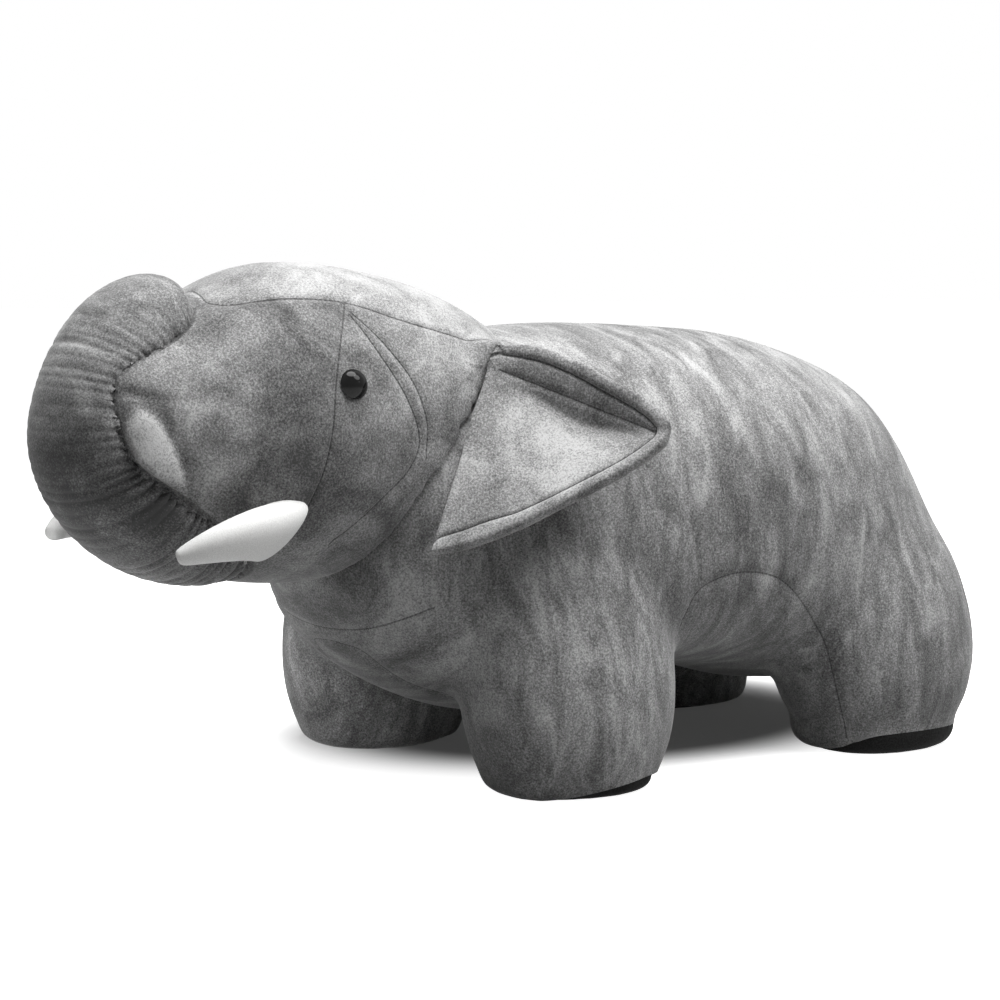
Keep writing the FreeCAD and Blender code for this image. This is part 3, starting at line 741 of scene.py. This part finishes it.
eye_plastic = black_material(
    "eye_plastic", roughness=0.06, grain_scale=60.0, dark=0.003, pale=0.007, bump_height=0.00002, shine=0.15
)
finish_nodes(eye_plastic, "left_eye", "right_eye")
washer_plastic = black_material(
    "washer_plastic", roughness=0.5, grain_scale=500.0, dark=0.01, pale=0.03, bump_height=0.0002
)
finish_nodes(washer_plastic, "left_eye_washer", "right_eye_washer")


# Tusks: stuffed horns of smooth off-white cloth, sewn into the lower end of the face seam. Their
# roots are cut on the slant, so the slanting edge is sunk into the cheek.


def tusk_material():
    """Off-white brushed cloth with a fine mottled weave."""
    material, shader = new_material("tusk_cloth")
    place = add_node(material, "TexCoord")
    weave = add_node(material, "TexNoise", scale=1100.0, detail=2.0)
    link(material, place.outputs["Object"], weave.inputs["Vector"])
    stops = ((0.3, (0.66, 0.66, 0.65)), (0.7, (0.82, 0.82, 0.81)))
    link(material, colour_ramp(material, weave.outputs["Fac"], stops), shader.inputs["Base Color"])
    bump = add_node(material, "Bump", strength=0.3, distance=0.0004)
    link(material, weave.outputs["Fac"], bump.inputs["Height"])
    link(material, bump.outputs["Normal"], shader.inputs["Normal"])
    shader.inputs["Roughness"].default_value = 0.7
    return material


tusk_cloth = tusk_material()
root_seam, root_slope = np.array((-0.260, 0.247)), np.array((0.72, -0.69))
root_sink, root_blend = 0.028, 0.014
for side in ("left", "right"):
    tusk = outer_skin(f"{side}_tusk_horn", [f"{side}_tusk"], voxel=0.0025)
    smooth_over(tusk, rounds=4)
    apply_modifier(tusk, "SUBSURF", levels=1, render_levels=1)
    points = points_of(tusk.data)
    beyond = (points[:, 1:] - root_seam) @ root_slope
    points[:, 0] -= np.sign(points[:, 0]) * root_sink * ramp_between(beyond, 0.0, root_blend)
    move_points(tusk.data, points)
    tuck(tusk, head_surface, reach=0.010, depth=0.008)
    tuck(tusk, surface_of(trunk), reach=0.006, depth=0.005)
    dress(tusk, tusk_cloth, "root")
    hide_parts(f"{side}_tusk")


# Ears: each is a narrow upper and a broad lower panel of suede that meet in a fold, lined with
# wadding. A rolled rim runs round the free edge, topstitched along its inner side, and the root is
# sewn to the raised root on the head, which it bends about.

rim_width, rim_height, rim_taper, edge_reach = 0.010, 0.0018, 0.03, 0.012
stitch_depth, stitch_width = 0.0012, 0.0018
fold_depth, fold_spread = 0.0015, 0.003
lower_panel_light, ear_shade, tone_blend = 0.1, -0.03, 0.03
root_near, root_far = 0.004, 0.012


def outermost(points, line):
    """Moves a rough line out to the edge of a flap: the points near it that lie furthest out."""
    tree = kdtree.KDTree(len(points))
    for index, point in enumerate(points):
        tree.insert(point, index)
    tree.balance()
    middle = points.mean(axis=0)
    edge = []
    for place in smooth_line(line, step=0.008):
        near = points[[index for _, index, _ in tree.find_range(place, edge_reach)]]
        edge.append(near[np.argmax(near @ (place - middle))])
    edge = np.array(edge)
    edge[1:-1] = 0.25 * edge[:-2] + 0.5 * edge[1:-1] + 0.25 * edge[2:]
    return edge


ear_rims = both_sides(
    [(112, -76, 364), (130, -67, 365), (157, -47, 359), (190, -30, 343), (222, -17, 324), (243, -11, 308),
     (248, -9, 297), (240, -30, 277), (222, -57, 260), (187, -109, 239), (157, -151, 218), (144, -163, 203)]
)
ear_folds = both_sides([(126, -79, 345), (148, -60, 334), (176, -41, 322), (208, -26, 310), (239, -15, 300)])
for side, rim, crease in zip(("left", "right"), ear_rims, ear_folds):
    ear = outer_skin(f"{side}_ear_flap", [f"{side}_ear"], voxel=0.002)
    smooth_over(ear, rounds=10)
    apply_modifier(ear, "SUBSURF", levels=1, render_levels=1)
    points = points_of(ear.data)
    surface = surface_of(ear)
    around = LineField(points, [lay_line(surface, outermost(points, rim))])
    edge = around.distance
    middle = LineField(points, [lay_line(surface, crease)])
    taper = ramp_between(np.minimum(around.run, around.run.max() - around.run), 0.0, rim_taper)
    across = np.clip((edge - rim_width / 2) / (rim_width / 2), 0.0, 1.0)
    roll = rim_height * taper * np.sqrt(1.0 - across**2)
    from_stitch = edge - rim_width
    stitched = stitch_depth * np.exp(-((from_stitch / stitch_width) ** 2))
    drawn = fold_depth * np.exp(-((middle.distance / fold_spread) ** 2))
    move_points(ear.data, points + normals_of(ear.data) * (roll - stitched - drawn)[:, None])
    at_rim = np.abs(from_stitch) < middle.distance
    write_values(ear.data, "nap", points * even_nap)
    # The lower panel is painted lighter, a painted light, and the whole ear a little darker, painted shade.
    lower_panel = ramp_between(-middle.offset[:, 2], 0.0, tone_blend)
    write_values(ear.data, "tone", lower_panel_light * lower_panel + ear_shade)
    write_values(ear.data, "seam_side", np.where(at_rim, from_stitch, middle.side))
    write_values(ear.data, "seam_distance", np.where(at_rim, np.abs(from_stitch), middle.distance))
    tuck(ear, head_surface, reach=0.014, depth=0.010)
    at_root = 1.0 - ramp_between(distances(points_of(ear.data), head_surface), root_near, root_far)
    smooth_over(ear, rounds=6, weights=at_root)
    dress(ear, suede, f"{side}_ear")
    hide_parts(f"{side}_ear")


# Tail: a short stuffed cord of suede with a rounded end, made from its CAD solid. Its upper end is
# sewn into the rump, and the rest hangs free and swings sideways.

tail = outer_skin("tail_cord", ["tail"], voxel=0.002)
smooth_over(tail, rounds=4)
apply_modifier(tail, "SUBSURF", levels=1, render_levels=1)
points = points_of(tail.data)
rump_normal, root_sunk = np.array((0.0, 0.911, 0.413)), 0.016
root_low, root_top = 0.255, 0.288
sewn_in = ramp_between(points[:, 2], root_low, root_top)
move_points(tail.data, points - root_sunk * rump_normal * sewn_in[:, None])
write_values(tail.data, "nap", points * even_nap)
write_values(tail.data, "tone", np.zeros(len(points)))
write_values(tail.data, "seam_side", np.ones(len(points)))
write_values(tail.data, "seam_distance", np.ones(len(points)))
dress(tail, suede, "tail")
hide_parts("tail")


# Studio: a white floor, a large soft lamp overhead, another above the camera's right, a narrow low
# one for the far leg, and the camera low in front of the left side.


def link_path(tree, *rays):
    """1 for the rays that are named, else 0."""
    path = tree.nodes.new("ShaderNodeLightPath")
    output = path.outputs[rays[0]]
    for ray in rays[1:]:
        either = tree.nodes.new("ShaderNodeMath")
        either.operation = "MAXIMUM"
        tree.links.new(output, either.inputs[0])
        tree.links.new(path.outputs[ray], either.inputs[1])
        output = either.outputs[0]
    return output


seen_rays = ("Is Camera Ray", "Is Glossy Ray", "Is Transmission Ray")


def floor_material():
    """White where it is seen, with the pouf's shadow on it, and grey to the light it throws back."""
    material, shader = new_material("white_floor")
    tree = material.node_tree
    place = add_node(material, "TexCoord")
    marks = add_node(material, "TexNoise", scale=3.0, detail=3.0)
    link(material, place.outputs["Object"], marks.inputs["Vector"])
    pale = colour_ramp(material, marks.outputs["Fac"], ((0.3, 0.88), (0.7, 0.92)))
    tint = add_node(material, "MixRGB")
    tint.inputs["Color1"].default_value = (0.38, 0.38, 0.38, 1.0)
    link(material, link_path(tree, *seen_rays), tint.inputs["Fac"])
    link(material, tint.outputs["Color"], shader.inputs["Base Color"])
    shader.inputs["Roughness"].default_value = 0.9
    shader.inputs["Specular IOR Level"].default_value = 0.0

    # Little light gets under the belly, so an ellipse of the floor there is darker and doesn't glow.
    under_x, under_y, half_width, half_length = -0.12, 0.2, 0.22, 0.28
    under_belly = add_node(material, "Mapping")
    under_belly.inputs["Location"].default_value = (-under_x / half_width, -under_y / half_length, 0.0)
    under_belly.inputs["Scale"].default_value = (1.0 / half_width, 1.0 / half_length, 1.0)
    link(material, place.outputs["Object"], under_belly.inputs["Vector"])
    length = add_node(material, "VectorMath", operation="LENGTH")
    link(material, under_belly.outputs["Vector"], length.inputs[0])
    far = add_node(material, "MapRange", interpolation_type="SMOOTHSTEP")
    far.inputs["From Min"].default_value = 0.8
    far.inputs["From Max"].default_value = 1.3
    far.inputs["To Min"].default_value = 0.04
    link(material, length.outputs["Value"], far.inputs["Value"])
    shade = add_node(material, "MixRGB")
    shade.inputs["Color1"].default_value = (0.2, 0.2, 0.2, 1.0)
    link(material, far.outputs["Result"], shade.inputs["Fac"])
    link(material, pale, shade.inputs["Color2"])
    link(material, shade.outputs["Color"], tint.inputs["Color2"])
    glow = add_node(material, "Math", operation="MULTIPLY")
    link(material, far.outputs["Result"], glow.inputs[0])
    link(material, link_path(tree, *seen_rays), glow.inputs[1])
    shader.inputs["Emission Color"].default_value = (1.0, 1.0, 1.0, 1.0)
    link(material, glow.outputs[0], shader.inputs["Emission Strength"])
    return material


bpy.ops.object.select_all(action="DESELECT")
bpy.ops.mesh.primitive_grid_add(x_subdivisions=4, y_subdivisions=4, size=40.0, location=(0.0, 0.0, 0.0))
floor = bpy.context.object
floor.name = "floor"
floor.data.materials.append(floor_material())


def soft_lamp(name, place, aim, size, power):
    """A round area lamp turned to its aim."""
    data = bpy.data.lights.new(name, "AREA")
    data.shape = "DISK"
    data.size = size
    data.energy = power
    lamp = bpy.data.objects.new(name, data)
    lamp.location = place
    lamp.rotation_euler = (Vector(aim) - Vector(place)).to_track_quat("-Z", "Y").to_euler()
    bpy.context.collection.objects.link(lamp)


pouf_middle = (0.0, 0.0, 0.2)
soft_lamp("overhead_lamp", (0.15, -0.1, 2.3), pouf_middle, size=1.6, power=60.0)
soft_lamp("right_lamp", (1.2, 0.6, 2.1), pouf_middle, size=1.4, power=35.0)

leg_light = bpy.data.lights.new("leg_light", "SPOT")
leg_light.energy = 200.0
leg_light.spot_size = math.radians(8.0)
leg_light.spot_blend = 0.8
leg_light.shadow_soft_size = 0.12
leg_lamp = bpy.data.objects.new("leg_light", leg_light)
leg_lamp.location = (0.75, -1.75, 0.12)
far_leg = Vector((-0.15, -0.22, 0.085))
leg_lamp.rotation_euler = (far_leg - leg_lamp.location).to_track_quat("-Z", "Y").to_euler()
bpy.context.collection.objects.link(leg_lamp)

world = bpy.data.worlds.new("white_room")
bpy.context.scene.world = world
world.use_nodes = True
room = world.node_tree.nodes["Background"]
room.inputs["Color"].default_value = (1.0, 1.0, 1.0, 1.0)
strength = world.node_tree.nodes.new("ShaderNodeMapRange")
strength.inputs["To Min"].default_value = 0.06
strength.inputs["To Max"].default_value = 1.0
world.node_tree.links.new(link_path(world.node_tree, *seen_rays), strength.inputs["Value"])
world.node_tree.links.new(strength.outputs["Result"], room.inputs["Strength"])

camera_place = Vector((1.814, -1.3175, 0.434))
camera_aim = Vector((-0.002, 0.0095, 0.227))
camera_data = bpy.data.cameras.new("camera")
camera_data.lens = 93.24
camera = bpy.data.objects.new("camera", camera_data)
camera.location = camera_place
camera.rotation_euler = (camera_aim - camera_place).to_track_quat("-Z", "Y").to_euler()
bpy.context.collection.objects.link(camera)
bpy.context.scene.camera = camera
bpy.context.scene.view_settings.view_transform = "Standard"
